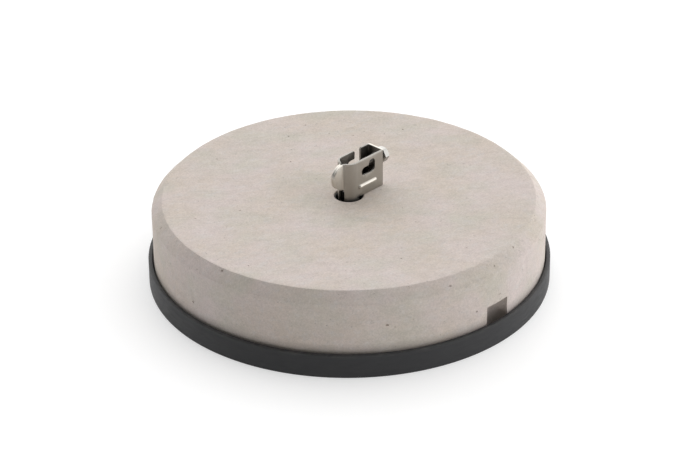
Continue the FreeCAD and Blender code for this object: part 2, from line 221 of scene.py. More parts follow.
def make_concrete():
    finish = Finish("troweled_concrete", Specular_IOR_Level=0.3)
    ragged = finish.ragged(420, 2.6 * MM)
    strokes = finish.noise(130, 5, 0.75, finish.stretched((2.2, 1.0, 1.0), math.radians(-46), ragged))
    cross_strokes = finish.noise(190, 4, 0.72, finish.stretched((2.0, 1.0, 1.0), math.radians(-16), ragged))
    clouds = finish.noise(15, 4, 0.6)
    patches = finish.noise(26, 3, 0.6, finish.stretched((1.5, 1.0, 1.0), math.radians(-35)))
    grain = finish.noise(620, 3, 0.75)
    pits = speckles(finish, ragged, 48, 1.0 * MM, 0.16)
    pinholes = speckles(finish, ragged, 150, 0.55 * MM, 0.14)
    grit = speckles(finish, ragged, 330, 0.40 * MM, 0.10)
    marks = hairlines(finish, finish.stretched((2.0, 1.0, 1.0), math.radians(-40), ragged), 70, 0.006, 0.60)

    warm = rgb(0.565, 0.493, 0.432)
    pink = rgb(0.560, 0.489, 0.462)
    cool = rgb(0.520, 0.487, 0.466)
    olive = rgb(0.505, 0.472, 0.408)
    colour = finish.mix(finish.ramp(clouds, (0.38, 0.0), (0.62, 1.0)), warm, pink)
    colour = finish.mix(finish.ramp(patches, (0.45, 0.0), (0.68, 0.8)), colour, olive)
    colour = finish.mix(finish.ramp(cross_strokes, (0.50, 0.0), (0.70, 0.7)), colour, cool)
    light_and_dark = (
        (strokes - 0.5) * STROKE_CONTRAST + (cross_strokes - 0.5) * STROKE_CONTRAST * 0.6
        + (clouds - 0.5) * 0.20 + (grain - 0.5) * GRAIN_CONTRAST + 1.0
    )
    tone = finish.node("CombineColor", {}, {0: light_and_dark, 1: light_and_dark, 2: light_and_dark})
    colour = finish.mix(1.0, colour, tone, "MULTIPLY")
    spots = (pits * 0.75).larger(pinholes * 0.62).larger(grit * 0.55).larger(marks * 0.42)
    colour = finish.mix(spots, colour, rgb(0.16, 0.145, 0.13))
    # Painted shade: the side darkens towards the tray's rim over the 9 mm above it, where the rim shades
    # it.
    painted_rim_shade = 1.0 - finish.height_above(TRAY_HEIGHT - 1 * MM, TRAY_HEIGHT + 9 * MM)
    colour = finish.mix(painted_rim_shade * 0.45, colour, rgb(0.20, 0.185, 0.17))

    relief = strokes * 0.5 + grain * 0.45 - pits * 1.2 - pinholes * 0.6 - grit * 0.4 - marks * 0.5
    return finish.finish(
        Base_Color=colour,
        Roughness=finish.ramp(strokes, (0.3, 0.80), (0.7, 0.93)),
        Normal=finish.bump(relief, 0.35, 0.5 * MM),
    )


def make_tray_plastic():
    finish = Finish("charcoal_tray_plastic", Specular_IOR_Level=0.3)
    texture = finish.noise(1500, 2, 0.6)
    flow = finish.noise(16, 3, 0.6, finish.stretched((1.0, 1.0, 0.33)))
    scuffs = finish.noise(70, 5, 0.7, finish.stretched((1.0, 1.0, 0.2)))
    near_top = finish.height_above(TRAY_HEIGHT - 4 * MM, TRAY_HEIGHT)
    # The top 4 mm of the rim is made paler, in blotches.
    pale_top_blotches = near_top * finish.ramp(scuffs, (0.45, 0.0), (0.75, 1.0))
    colour = finish.mix(flow, rgb(0.024, 0.0245, 0.026), rgb(0.037, 0.037, 0.039))
    colour = finish.mix(pale_top_blotches * 0.35, colour, rgb(0.16, 0.15, 0.14))
    return finish.finish(
        Base_Color=colour,
        Roughness=finish.ramp(scuffs, (0.35, 0.50), (0.75, 0.68)),
        Normal=finish.bump(texture + flow * 0.5, 0.22, 0.15 * MM),
    )


def painted_shade_inside_clamp(finish):
    """1 on the faces that the clamp's walls turn inwards, where shade is painted on."""
    along = finish.node("SeparateXYZ", {}, {0: finish.place}, output="X")
    across = finish.node("SeparateXYZ", {}, {0: finish.place}, output="Y")
    flat = finish.node("CombineXYZ", {}, {0: along, 1: across})
    from_axis = finish.node("VectorMath", {"operation": "LENGTH"}, {0: flat}, output="Value")
    from_middle = across.unsigned()
    half = -clamp_low.y
    in_tube = finish.ramp(from_axis / half, (0.83, 1.0), (0.87, 0.0))
    in_channel = finish.ramp(from_middle / half, (0.83, 1.0), (0.87, 0.0))
    right_of_tube = finish.ramp(along / clamp_high.x, (0.01, 0.0), (0.03, 1.0))
    left_of_wall = finish.ramp(along / clamp_high.x, (0.955, 1.0), (0.975, 0.0))
    in_channel = in_channel * right_of_tube * left_of_wall
    return in_tube.larger(in_channel)


def make_sheet_steel():
    finish = Finish("brushed_stainless_sheet", Metallic=1.0)
    brushed = finish.noise(420, 4, 0.7, finish.stretched((20.0, 20.0, 0.11)))
    stains = finish.noise(60, 4, 0.6)
    stained = finish.ramp(stains, (0.35, 0.0), (0.7, 1.0))
    colour = finish.mix(stained, rgb(0.70, 0.665, 0.605), rgb(0.62, 0.59, 0.535))
    colour = finish.mix((brushed - 0.5) * 0.5 + 0.2, colour, rgb(0.48, 0.455, 0.41))
    # Painted shade: the inside of the clamp's tube and channel is darkened.
    colour = finish.mix(painted_shade_inside_clamp(finish) * 0.72, colour, rgb(0.10, 0.095, 0.088))
    return finish.finish(
        Base_Color=colour,
        Roughness=finish.ramp(brushed, (0.3, 0.36), (0.7, 0.48)),
        Normal=finish.bump(brushed * 0.6 + stains * 0.3, 0.12, 0.05 * MM),
    )


def make_bolt_steel():
    finish = Finish("bright_bolt_steel", Metallic=1.0)
    turned = finish.noise(500, 4, 0.7, finish.stretched((0.11, 1.7, 1.7)))
    marks = finish.noise(180, 3, 0.6)
    colour = finish.mix(turned, rgb(0.40, 0.39, 0.37), rgb(0.33, 0.32, 0.30))
    colour = finish.mix(finish.ramp(marks, (0.55, 0.0), (0.8, 0.6)), colour, rgb(0.28, 0.27, 0.25))
    return finish.finish(
        Base_Color=colour,
        Roughness=finish.ramp(marks, (0.3, 0.20), (0.75, 0.36)),
        Normal=finish.bump(turned, 0.10, 0.04 * MM),
    )


def make_black_pipe():
    finish = Finish("black_pipe_plastic", Specular_IOR_Level=0.45)
    drawn = finish.noise(320, 3, 0.6, finish.stretched((1.0, 1.0, 16.0)))
    grey = finish.noise(90, 4, 0.6)
    dusty = finish.ramp(grey, (0.5, 0.0), (0.8, 0.5))
    colour = finish.mix(dusty, rgb(0.018, 0.019, 0.020), rgb(0.10, 0.095, 0.09))
    return finish.finish(
        Base_Color=colour,
        Roughness=finish.ramp(drawn, (0.3, 0.38), (0.7, 0.55)),
        Normal=finish.bump(drawn, 0.15, 0.08 * MM),
    )


def make_collar_nylon():
    finish = Finish("grey_collar_nylon", Specular_IOR_Level=0.45)
    moulded = finish.noise(240, 3, 0.6)
    colour = finish.mix(moulded, rgb(0.075, 0.078, 0.082), rgb(0.12, 0.122, 0.126))
    return finish.finish(
        Base_Color=colour,
        Roughness=finish.ramp(moulded, (0.3, 0.42), (0.7, 0.58)),
        Normal=finish.bump(moulded, 0.12, 0.06 * MM),
    )


# ---------------------------------------------------------------- mesh helpers


def add_piece(name, mesh, material, body, slot, *nodes):
    """Puts a mesh in the scene, ties it to its body and hides the nodes that it stands for."""
    bm = bmesh.new()
    bm.from_mesh(mesh)
    bmesh.ops.recalc_face_normals(bm, faces=bm.faces)
    bm.to_mesh(mesh)
    bm.free()
    piece = bpy.data.objects.new(name, mesh)
    bpy.context.scene.collection.objects.link(piece)
    mesh.materials.clear()
    mesh.materials.append(material)
    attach(piece, body)
    if nodes:
        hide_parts(*nodes)
    return piece


def shade(mesh, sharp=math.radians(32)):
    """Smooth shading that stops at the sharp edges."""
    bm = bmesh.new()
    bm.from_mesh(mesh)
    for face in bm.faces:
        face.smooth = True
    for edge in bm.edges:
        edge.smooth = edge.calc_face_angle(math.pi) < sharp
    bm.to_mesh(mesh)
    bm.free()


def rounded(corners, radius, steps=5):
    """A closed outline with its corners rounded; a corner may carry its own radius as a third value."""
    points = []
    count = len(corners)
    for number, corner in enumerate(corners):
        here = Vector(corner[:2])
        own = corner[2] if len(corner) > 2 else radius
        before = Vector(corners[number - 1][:2]) - here
        after = Vector(corners[(number + 1) % count][:2]) - here
        half = before.angle(after) / 2
        if own <= 0 or half > math.radians(89):
            points.append(here)
            continue
        reach = own / math.tan(half)
        start = here + before.normalized() * reach
        end = here + after.normalized() * reach
        centre = here + (before.normalized() + after.normalized()).normalized() * own / math.sin(half)
        first = start - centre
        last = end - centre
        turn = first.angle_signed(last)
        for step in range(steps + 1):
            points.append(centre + Matrix.Rotation(-turn * step / steps, 2) @ first)
    return points


def lathe(name, outline, segments):
    """A closed mesh turned from a closed outline of (radius, height) points."""
    bm = bmesh.new()
    rings = []
    for point in outline:
        radius, height = point
        if radius < 1e-7:
            rings.append([bm.verts.new((0, 0, height))] * segments)
            continue
        ring = []
        for number in range(segments):
            angle = 2 * math.pi * number / segments
            ring.append(bm.verts.new((radius * math.cos(angle), radius * math.sin(angle), height)))
        rings.append(ring)
    for lower, upper in zip(rings, rings[1:] + rings[:1]):
        for number in range(segments):
            after = (number + 1) % segments
            corners = [lower[number], lower[after], upper[after], upper[number]]
            unique = list(dict.fromkeys(corners))
            if len(unique) > 2:
                bm.faces.new(unique)
    bmesh.ops.recalc_face_normals(bm, faces=bm.faces)
    mesh = bpy.data.meshes.new(name)
    bm.to_mesh(mesh)
    bm.free()
    return mesh


def worked(mesh, kind, **settings):
    """The mesh after one modifier."""
    body = bpy.data.objects.new("work", mesh)
    bpy.context.scene.collection.objects.link(body)
    modifier = body.modifiers.new("work", kind)
    for name, setting in settings.items():
        setattr(modifier, name, setting)
    evaluated = body.evaluated_get(bpy.context.evaluated_depsgraph_get())
    result = bpy.data.meshes.new_from_object(evaluated)
    bpy.data.objects.remove(body)
    return result


def cut(mesh, tool, operation="DIFFERENCE"):
    """The mesh with another taken from it, or added to it."""
    cutter = bpy.data.objects.new("tool", tool)
    bpy.context.scene.collection.objects.link(cutter)
    result = worked(mesh, "BOOLEAN", operation=operation, solver="MANIFOLD", object=cutter)
    bpy.data.objects.remove(cutter)
    return result


def box_mesh(name, low, high):
    """A box between two corners."""
    bm = bmesh.new()
    bmesh.ops.create_cube(bm, size=1.0)
    low = Vector(low)
    high = Vector(high)
    for vert in bm.verts:
        share = vert.co + Vector((0.5, 0.5, 0.5))
        vert.co = low + Vector(a * b for a, b in zip(share, high - low))
    mesh = bpy.data.meshes.new(name)
    bm.to_mesh(mesh)
    bm.free()
    return mesh


def join(name, meshes):
    """Several meshes as one."""
    bm = bmesh.new()
    for mesh in meshes:
        bm.from_mesh(mesh)
    joined = bpy.data.meshes.new(name)
    bm.to_mesh(joined)
    bm.free()
    return joined


def soften_edges(piece, width, segments=2, limit=50):
    """Takes the knife edge off a piece's sharp corners."""
    bevel = piece.modifiers.new("soft_edges", "BEVEL")
    bevel.width = width
    bevel.segments = segments
    bevel.limit_method = "ANGLE"
    bevel.angle_limit = math.radians(limit)
    bevel.use_clamp_overlap = True


# ---------------------------------------------------------------- the concrete block

CHAMFER = 9.7 * MM
HOLE_RADIUS = 13.75 * MM
NOTCH_HALF = 13.7 * MM
NOTCH_TOP = 40 * MM
NOTCH_DEPTH = 12.5 * MM
NOTCH_CORNER = 12 * MM


def evenly(start, end, step):
    """Points from start up to, but not including, end."""
    start = Vector(start)
    end = Vector(end)
    count = max(1, round((end - start).length / step))
    return [start.lerp(end, number / count) for number in range(count)]


def make_block():
    """Cast concrete: its faces are slightly uneven and its edges slightly worn."""
    radius = BLOCK_RADIUS
    top = BLOCK_TOP
    seat = BLOCK_SEAT
    worn = 0.9 * MM
    sharp = rounded([
        (HOLE_RADIUS, seat, 0), (HOLE_RADIUS, top, 0.6 * MM), (radius - CHAMFER, top, worn),
        (radius, top - CHAMFER, worn), (radius, seat, 2 * MM),
    ], 0, 4)
    outline = []
    for start, end in zip(sharp, sharp[1:] + sharp[:1]):
        outline += evenly(start, end, 2.6 * MM)
    mesh = lathe("concrete", outline, 420)
    for vert in mesh.vertices:
        place = vert.co.copy()
        if place.xy.length < HOLE_RADIUS + 3 * MM:
            continue
        wave = noise.noise(place * 14) * 0.16 + noise.noise(place * 55) * 0.07
        edge = min(
            (place.xy - place.xy.normalized() * (radius - CHAMFER)).length + abs(place.z - top),
            (place.xy - place.xy.normalized() * radius).length + abs(place.z - top + CHAMFER),
        )
        wear = max(0.0, 1 - edge / (3 * MM)) * (noise.noise(place * 130) * 0.22 - 0.10)
        outward = Vector((place.x, place.y, 0)).normalized()
        if place.z > top - 1 * MM:
            direction = Vector((0, 0, 1))
        elif place.z < seat + 1 * MM:
            continue
        else:
            direction = outward
        vert.co = place + direction * (min(wave, 0.0) * 0.9 - 0.02 + wear) * MM

    for side in (-1, 1):
        mesh = cut(mesh, make_notch_core(side, radius, seat))
    mesh = cut(mesh, make_blowholes(radius, top))
    shade(mesh, math.radians(28))
    return add_piece(
        "cast_block", mesh, make_concrete(), "block", "concrete", "concrete_block"
    )


def make_notch_core(side, radius, seat):
    """The room inside a lifting notch, with round inner corners."""
    inner = radius - NOTCH_DEPTH
    outer = radius + 10 * MM
    plan = rounded([
        (-NOTCH_HALF, outer, 0), (-NOTCH_HALF, inner, NOTCH_CORNER),
        (NOTCH_HALF, inner, NOTCH_CORNER), (NOTCH_HALF, outer, 0),
    ], 0, 12)
    bm = bmesh.new()
    floor, roof = (
        [bm.verts.new((across, side * along, height)) for across, along in plan]
        for height in (seat - 1 * MM, NOTCH_TOP)
    )
    bm.faces.new(floor)
    bm.faces.new(roof)
    for number, start in enumerate(floor):
        following = (number + 1) % len(floor)
        bm.faces.new([start, floor[following], roof[following], roof[number]])
    bmesh.ops.recalc_face_normals(bm, faces=bm.faces)
    mesh = bpy.data.meshes.new("notch_core")
    bm.to_mesh(mesh)
    bm.free()
    return mesh


def make_blowholes(radius, top):
    """The small air pockets that the mould leaves in the top, the bevel and the side."""
    chance = random.Random(7)
    bm = bmesh.new()

    def pocket(centre, size):
        verts = bmesh.ops.create_icosphere(bm, subdivisions=2, radius=size)["verts"]
        stretch = Vector((chance.uniform(0.7, 1.4), chance.uniform(0.7, 1.4), chance.uniform(0.7, 1.1)))
        for vert in verts:
            bumpy = 1 + 0.35 * noise.noise(vert.co / size * 1.7 + centre * 900)
            vert.co = centre + Vector(a * b for a, b in zip(vert.co * bumpy, stretch))

    for _ in range(34):
        angle = chance.uniform(0, 2 * math.pi)
        distance = math.sqrt(chance.uniform(0.04, 0.98)) * (radius - CHAMFER - 4 * MM)
        size = chance.choice((0.5, 0.6, 0.8, 1.1)) * MM
        pocket(Vector((distance * math.cos(angle), distance * math.sin(angle), top + size * 0.25)), size)
    for _ in range(26):
        angle = chance.uniform(0, 2 * math.pi)
        size = chance.choice((0.6, 0.8, 1.0, 1.3)) * MM
        share = chance.random()
        distance = radius - CHAMFER * share + size * 0.1
        height = top - CHAMFER * (1 - share) + size * 0.1
        pocket(Vector((distance * math.cos(angle), distance * math.sin(angle), height)), size)
    for _ in range(44):
        angle = chance.uniform(0, 2 * math.pi)
        size = chance.choice((0.5, 0.7, 0.9, 1.2)) * MM
        height = chance.uniform(TRAY_HEIGHT + 3 * MM, top - CHAMFER - 2 * MM)
        distance = radius + size * 0.2
        pocket(Vector((distance * math.cos(angle), distance * math.sin(angle), height)), size)
    mesh = bpy.data.meshes.new("blowholes")
    bm.to_mesh(mesh)
    bm.free()
    return mesh


# ---------------------------------------------------------------- the tray

TRAY_WALL = 4.1 * MM
FOOT_HEIGHT = 2 * MM
FOOT_WIDTH = 4 * MM
FOOT_RINGS = (62 * MM, 122 * MM)
CENTRE_FOOT = 22 * MM
RIM_FOOT = 9 * MM
DRAIN_CIRCLE = 92 * MM
DRAIN_RADIUS = 6 * MM
FOOT_RIBS = 12
DRAIN_HOLES = 6


def make_tray():
    """Injection moulded in one shot: rim, floor, foot rings and ribs, and drain holes."""
    edge = 0.9 * MM
    soft = 0.5 * MM
    outline = [(0, 0, 0), (CENTRE_FOOT, 0, soft), (CENTRE_FOOT, FOOT_HEIGHT, 0)]
    for ring in FOOT_RINGS:
        inner = ring - FOOT_WIDTH / 2
        outer = ring + FOOT_WIDTH / 2
        outline += [(inner, FOOT_HEIGHT, 0), (inner, 0, soft), (outer, 0, soft), (outer, FOOT_HEIGHT, 0)]
    rim_inner = TRAY_RADIUS - TRAY_WALL
    outline += [
        (TRAY_RADIUS - RIM_FOOT, FOOT_HEIGHT, 0), (TRAY_RADIUS - RIM_FOOT, 0, soft),
        (TRAY_RADIUS, 0, edge), (TRAY_RADIUS, TRAY_HEIGHT, edge), (rim_inner, TRAY_HEIGHT, edge),
        (rim_inner, BLOCK_SEAT, 0), (0, BLOCK_SEAT, 0),
    ]
    mesh = lathe("tray", rounded(outline, soft, 4), 360)
    ribs = []
    for number in range(FOOT_RIBS):
        rib = box_mesh(
            "rib", (CENTRE_FOOT - FOOT_WIDTH, -FOOT_WIDTH / 2, 0),
            (TRAY_RADIUS - RIM_FOOT / 2, FOOT_WIDTH / 2, FOOT_HEIGHT + 1 * MM),
        )
        rib.transform(Matrix.Rotation(2 * math.pi * number / FOOT_RIBS, 4, "Z"))
        ribs.append(rib)
    mesh = cut(mesh, join("ribs", ribs), "UNION")
    drains = []
    for number in range(DRAIN_HOLES):
        angle = math.pi / FOOT_RIBS + 2 * math.pi * number / DRAIN_HOLES
        drain = lathe("drain", [(0, -0.01), (DRAIN_RADIUS, -0.01), (DRAIN_RADIUS, 0.01), (0, 0.01)], 48)
        centre = (DRAIN_CIRCLE * math.cos(angle), DRAIN_CIRCLE * math.sin(angle), 0)
        drain.transform(Matrix.Translation(centre))
        drains.append(drain)
    mesh = cut(mesh, join("drains", drains))
    shade(mesh, math.radians(30))
    return add_piece("moulded_tray", mesh, make_tray_plastic(), "tray", "tray_plastic", "edge_tray")


# ---------------------------------------------------------------- the folded clamp

SHEET = 2 * MM
ROD_RADIUS = 8 * MM
SOCKET = ROD_RADIUS + SHEET / 2
EAR_BEND = 2.5 * MM
EAR_HALF = SHEET / 2 + 0.05 * MM
WALL_BEND = 2 * MM
WALL_MID = clamp_high.x - SHEET / 2
CLAMP_TOP = clamp_high.z
CLAMP_BASE = BLOCK_TOP + 0.3 * MM
STEM_BOTTOM = clamp_low.z
EAR_CENTRE = Vector((-8.5 * MM, BLOCK_TOP + 22.5 * MM))
EAR_RADIUS = 12.75 * MM
SLOT_LOW = BLOCK_TOP + 20.1 * MM
SLOT_HALF = 4.1 * MM
SLOT_NEAR = 7 * MM
SLOT_FAR = 24.8 * MM
SLOT_BRIDGE = 3.2 * MM
SLOT_CORNER = 0.8 * MM
BEAD_HEIGHT = BLOCK_TOP + 10.3 * MM
BEAD_HALF = 2.1 * MM
BEAD_ENDS = (5.0 * MM, 24.4 * MM)
BEAD_RISE = 1.8 * MM
THREAD_HOLE = 4.06 * MM
COLLAR_RADIUS = 4.9 * MM
COLLAR_LENGTH = 2 * MM

EAR_TURN_X = -math.sqrt((SOCKET + EAR_BEND) ** 2 - (EAR_HALF + EAR_BEND) ** 2)
EAR_TURN = math.asin((EAR_HALF + EAR_BEND) / (SOCKET + EAR_BEND))
ROLL = SOCKET * (math.pi / 2 - EAR_TURN)
BEND = EAR_BEND * (math.pi / 2 - EAR_TURN)
FLAT = WALL_MID - WALL_BEND
CORNER = WALL_BEND * math.pi / 2
MIDDLE = FLAT + CORNER + SOCKET - WALL_BEND


def fold(along, height):
    """Where a point of the flat sheet lies once it is folded, and which way is out there.

    along is 0 where the front plate leaves the socket, grows towards the end wall, and is
    less than 0 round the rod and along the ear. The back half is the same, mirrored.
    """
    mirrored = along > MIDDLE
    run = 2 * MIDDLE - along if mirrored else along
    if height < CLAMP_BASE and run > -ROLL:
        angle = run / SOCKET - math.pi / 2
        out = Vector((math.cos(angle), math.sin(angle), 0))
        place = out * SOCKET
    elif run > FLAT + CORNER:
        out = Vector((1, 0, 0))
        place = Vector((WALL_MID, -SOCKET + WALL_BEND + run - FLAT - CORNER, 0))
    elif run > FLAT:
        angle = (run - FLAT) / WALL_BEND - math.pi / 2
        out = Vector((math.cos(angle), math.sin(angle), 0))
        place = Vector((FLAT, -SOCKET + WALL_BEND, 0)) + out * WALL_BEND
    elif run > 0:
        out = Vector((0, -1, 0))
        place = Vector((run, -SOCKET, 0))
    elif run > -ROLL:
        angle = run / SOCKET - math.pi / 2
        out = Vector((math.cos(angle), math.sin(angle), 0))
        place = out * SOCKET
    elif run > -ROLL - BEND:
        angle = EAR_TURN + (-ROLL - run) / EAR_BEND
        out = Vector((-math.cos(angle), -math.sin(angle), 0))
        place = Vector((EAR_TURN_X, -EAR_HALF - EAR_BEND, 0)) - out * EAR_BEND
    else:
        out = Vector((0, -1, 0))
        place = Vector((EAR_TURN_X + run + ROLL + BEND, -EAR_HALF, 0))
    if mirrored:
        place.y = -place.y
        out.y = -out.y
    place.z = height
    return place, out


def ear_edge():
    """The ear's round edge on the flat sheet, from its top to its bottom."""
    points = []
    start = math.acos((EAR_TURN_X - EAR_CENTRE.x) / EAR_RADIUS)
    steps = 28
    for step in range(steps + 1):
        angle = start + (2 * math.pi - 2 * start) * step / steps
        x = EAR_CENTRE.x + EAR_RADIUS * math.cos(angle)
        along = x - EAR_TURN_X - ROLL - BEND
        points.append((along, EAR_CENTRE.y + EAR_RADIUS * math.sin(angle)))
    return points


def half_blank():
    """The edge of the flat sheet's front half, from the top of the end wall round to its foot."""
    leg_edge = -SOCKET * math.radians(70)
    leg_end = SOCKET * math.radians(30)
    relief = 0.9 * MM
    ear_low = BLOCK_TOP + 9.7 * MM
    corner = 1.5 * MM
    top = [(MIDDLE, CLAMP_TOP), (-ROLL + 1.2 * MM, CLAMP_TOP), (-ROLL - 0.6 * MM, CLAMP_TOP - 0.5 * MM)]
    leg = [
        (-ROLL - 0.9 * MM, ear_low), (leg_edge - 0.2 * MM, ear_low - 0.5 * MM),
        (leg_edge, ear_low - 1.6 * MM), (leg_edge, STEM_BOTTOM + corner),
        (leg_edge + corner, STEM_BOTTOM), (leg_end - corner, STEM_BOTTOM),
        (leg_end, STEM_BOTTOM + corner), (leg_end, CLAMP_BASE - relief),
        (0.5 * MM, CLAMP_BASE - relief), (0.5 * MM, CLAMP_BASE + 0.001 * MM),
        (MIDDLE, CLAMP_BASE + 0.001 * MM),
    ]
    return top + ear_edge() + leg


def arc(centre, radius, start, end, steps=10):
    """Points along an arc, between two angles in degrees."""
    points = []
    for step in range(steps + 1):
        angle = math.radians(start + (end - start) * step / steps)
        points.append((centre[0] + radius * math.cos(angle), centre[1] + radius * math.sin(angle)))
    return points


def front_slot():
    """The bent slot in the front plate: its three ends are round, as the punch leaves them."""
    near_end = (SLOT_NEAR + SLOT_HALF, SLOT_LOW + SLOT_HALF)
    far_end = (SLOT_FAR - SLOT_HALF, SLOT_LOW + SLOT_HALF)
    top_end = (SLOT_FAR - SLOT_HALF, CLAMP_TOP - SLOT_BRIDGE - SLOT_HALF)
    inner = (SLOT_FAR - 2 * SLOT_HALF - SLOT_CORNER, SLOT_LOW + 2 * SLOT_HALF + SLOT_CORNER)
    points = arc(near_end, SLOT_HALF, 90, 270, 16)
    points += arc(far_end, SLOT_HALF, 270, 360, 8)
    points += arc(top_end, SLOT_HALF, 0, 180, 16)
    points += arc(inner, SLOT_CORNER, 0, -90, 4)
    return points


def back_half_blank():
    """The edge of the back half: the same, with its slot open at the top."""
    front = half_blank()
    mouth = 1.2 * MM
    drop = SLOT_FAR - 2 * SLOT_HALF
    near_end = (SLOT_NEAR + SLOT_HALF, SLOT_LOW + SLOT_HALF)
    far_end = (SLOT_FAR - SLOT_HALF, SLOT_LOW + SLOT_HALF)
    inner = (drop - SLOT_CORNER, SLOT_LOW + 2 * SLOT_HALF + SLOT_CORNER)
    slot = [(SLOT_FAR + mouth, CLAMP_TOP), (SLOT_FAR, CLAMP_TOP - mouth)]
    slot += arc(far_end, SLOT_HALF, 0, -90, 8)
    slot += arc(near_end, SLOT_HALF, 270, 90, 16)
    slot += arc(inner, SLOT_CORNER, -90, 0, 4)
    slot += [(drop, CLAMP_TOP - mouth), (drop - mouth, CLAMP_TOP)]
    whole = front[:1] + slot + front[1:]
    return [(2 * MIDDLE - along, height) for along, height in whole]


def bead_rise(along, height):
    """How far the pressed bead stands out at a point of the flat sheet."""
    run = min(along, 2 * MIDDLE - along)
    nearest = min(max(run, BEAD_ENDS[0]), BEAD_ENDS[1])
    distance = math.hypot(run - nearest, height - BEAD_HEIGHT) / BEAD_HALF
    return BEAD_RISE * (1 - distance ** 2) ** 0.7 if distance < 1 else 0.0


def add_loop(bm, points):
    """A closed line of edges on the flat sheet."""
    verts = [bm.verts.new((along, height, 0)) for along, height in points]
    for start, end in zip(verts, verts[1:] + verts[:1]):
        bm.edges.new((start, end))


def slice_lines():
    """Where the flat sheet is divided so that it can bend, as (place, direction) pairs."""
    lines = []

    def upright(start, end, step):
        count = max(1, math.ceil((end - start) / step))
        for number in range(count + 1):
            along = start + (end - start) * number / count
            lines.append((along, "along"))
            lines.append((2 * MIDDLE - along, "along"))

    upright(-ROLL - BEND, -ROLL, 0.45 * MM)
    upright(-ROLL, 0, 0.7 * MM)
    upright(0.5 * MM, SOCKET * math.radians(30), 0.7 * MM)
    upright(FLAT, FLAT + CORNER, 0.45 * MM)
    upright(BEAD_ENDS[0] - BEAD_HALF - 0.25 * MM, BEAD_ENDS[0], 0.25 * MM)
    upright(BEAD_ENDS[1], BEAD_ENDS[1] + BEAD_HALF + 0.25 * MM, 0.25 * MM)
    upright(BEAD_ENDS[0], BEAD_ENDS[1], 3 * MM)
    for number in range(-9, 10):
        lines.append((BEAD_HEIGHT + BEAD_HALF * number / 8, "height"))
    lines.append((CLAMP_BASE - 0.45 * MM, "height"))
    return lines


def make_clamp():
    """One blank of 2 mm sheet, punched, beaded, and then folded and rolled."""
    bm = bmesh.new()
    add_loop(bm, half_blank()[:-1] + [(MIDDLE, CLAMP_BASE + 0.001 * MM)] + back_half_blank()[::-1][1:-1])
    add_loop(bm, front_slot())
    add_loop(bm, arc((MIDDLE, BOLT_HEIGHT), THREAD_HOLE, 0, 360, 48)[:-1])
    bmesh.ops.triangle_fill(bm, use_beauty=True, use_dissolve=False, edges=bm.edges)
    for place, direction in slice_lines():
        point = (place, 0, 0) if direction == "along" else (0, place, 0)
        normal = (1, 0, 0) if direction == "along" else (0, 1, 0)
        parts = bm.verts[:] + bm.edges[:] + bm.faces[:]
        bmesh.ops.bisect_plane(bm, geom=parts, plane_co=point, plane_no=normal, dist=1e-6)
    bmesh.ops.recalc_face_normals(bm, faces=bm.faces)

    outer = {}
    inner = {}
    solid = bmesh.new()
    for vert in bm.verts:
        along, height = vert.co.x, vert.co.y
        place, out = fold(along, height)
        rise = bead_rise(along, height)
        outer[vert] = solid.verts.new(place + out * (SHEET / 2 + rise))
        inner[vert] = solid.verts.new(place + out * (rise - SHEET / 2))
    for face in bm.faces:
        solid.faces.new([outer[vert] for vert in face.verts])
        solid.faces.new([inner[vert] for vert in reversed(face.verts)])
    for edge in bm.edges:
        if len(edge.link_faces) == 1:
            first, second = edge.verts
            solid.faces.new([outer[first], outer[second], inner[second], inner[first]])
    bm.free()
    bmesh.ops.recalc_face_normals(solid, faces=solid.faces)
    mesh = bpy.data.meshes.new("folded_sheet")
    solid.to_mesh(mesh)
    solid.free()
    mesh = worked(
        mesh, "BEVEL", width=0.22 * MM, segments=2, limit_method="ANGLE", angle_limit=math.radians(50)
    )
    mesh = cut(mesh, make_thread_collar(), "UNION")
    shade(mesh, math.radians(30))
    return add_piece("folded_clamp", mesh, make_sheet_steel(), "clamp", "sheet_steel", "clamp_body")


def make_thread_collar():
    """The collar that is drawn inwards from the end wall to give the thread its length."""
    wall = WALL_MID - SHEET / 2
    root = 0.9 * MM
    outline = [
        (THREAD_HOLE, -0.2 * MM, 0), (COLLAR_RADIUS + root, -0.2 * MM, 0), (COLLAR_RADIUS + root, 0, 0),
        (COLLAR_RADIUS, root, 0), (COLLAR_RADIUS, COLLAR_LENGTH, 0.3 * MM),
        (THREAD_HOLE + 0.3 * MM, COLLAR_LENGTH, 0), (THREAD_HOLE, COLLAR_LENGTH - 0.3 * MM, 0),
    ]
    mesh = lathe("thread_collar", rounded(outline, 0, 4), 64)
    mesh.transform(Matrix.Translation((wall, 0, BOLT_HEIGHT)) @ Matrix.Rotation(-math.pi / 2, 4, "Y"))
    return mesh


# ---------------------------------------------------------------- the bolt

PITCH = 1.25 * MM
BOLT_RADIUS = 4 * MM
THREAD_DEPTH = 0.65 * MM
HEAD_THICKNESS = 5.3 * MM
HEAD_FLATS = 13 * MM
JOURNAL_RADIUS = 2.5 * MM
CLIP_GROOVE = 2 * MM


def thread_radius(along, turn):
    """The radius of a right-hand thread: 60 degree flanks with a flat crest and root."""
    phase = (along / PITCH - turn / (2 * math.pi)) % 1.0
    slope = abs(phase - 0.5) * 2
    level = min(max((slope - 0.12) / 0.68, 0.0), 1.0)
    return BOLT_RADIUS - THREAD_DEPTH * level


